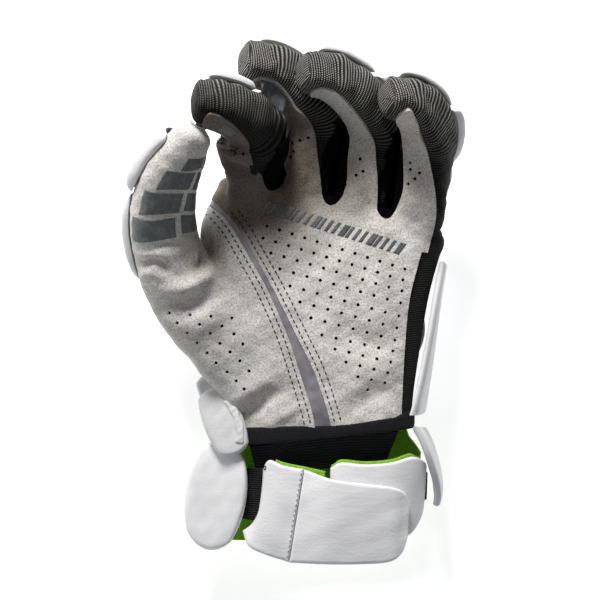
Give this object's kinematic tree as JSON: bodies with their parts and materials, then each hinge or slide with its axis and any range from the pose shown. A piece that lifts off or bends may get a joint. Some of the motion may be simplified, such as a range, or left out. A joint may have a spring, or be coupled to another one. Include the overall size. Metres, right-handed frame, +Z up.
{
  "type": "lacrosse glove",
  "caption": "Padded lacrosse glove for the left hand, with a suede palm, mesh fingers, foam pads on its back and a strapped cuff.",
  "frame": {"origin": "on the surface that the glove lies on, under the middle of its outline", "axes": "+X to the little finger, +Y to the fingertips, +Z up, out of the palm"},
  "size_m": [0.1758, 0.2766, 0.0915],
  "materials": {
    "suede": "matt napped suede, speckled grey beige",
    "mesh": "dark knitted mesh with fine dots",
    "padded_cover": "white fine-grained synthetic leather over foam",
    "binding": "black ribbed knit",
    "elastic": "black woven elastic with cross ribs",
    "felt": "bright green brushed felt",
    "stripe": "grey smooth satin cloth"
  },
  "bodies": {
    "root": {"palm_panel": "suede", "thenar_panel": "suede", "palm_stripe": "stripe", "hem_binding": "binding", "index_sleeve": "mesh", "middle_sleeve": "mesh", "ring_sleeve": "mesh", "little_sleeve": "mesh", "thumb_sleeve": "mesh", "hand_back": "mesh", "index_pad_base": "padded_cover", "index_pad_middle": "padded_cover", "index_pad_tip": "padded_cover", "middle_pad_base": "padded_cover", "middle_pad_middle": "padded_cover", "middle_pad_tip": "padded_cover", "ring_pad_base": "padded_cover", "ring_pad_middle": "padded_cover", "ring_pad_tip": "padded_cover", "little_pad_base": "padded_cover", "little_pad_middle": "padded_cover", "little_pad_tip": "padded_cover", "thumb_pad_base": "padded_cover", "thumb_pad_tip": "padded_cover", "web_gusset_index": "mesh", "web_gusset_middle": "mesh", "web_gusset_ring": "mesh", "knuckle_pad_index": "padded_cover", "knuckle_pad_middle": "padded_cover", "knuckle_pad_ring": "padded_cover", "knuckle_pad_little": "padded_cover", "back_pad_index_side": "padded_cover", "back_pad_little_side": "padded_cover", "back_pad_thumb_side": "padded_cover", "back_pad_outer_side": "padded_cover", "back_pad_wrist": "padded_cover", "cuff_pad_back": "padded_cover", "outer_edge_pad": "padded_cover", "cuff_felt_back": "felt", "cuff_band_left": "padded_cover", "cuff_felt_left": "felt", "cuff_band_right": "padded_cover", "cuff_felt_right": "felt", "closure_tab": "padded_cover", "cuff_pad_outer": "padded_cover", "cuff_elastic_left": "elastic", "cuff_elastic_right": "elastic", "wrist_knit": "binding", "cuff_pad_oval": "padded_cover", "cuff_felt_oval": "felt", "wrist_flap": "padded_cover", "wrist_pad": "padded_cover"}
  },
  "joints": []
}
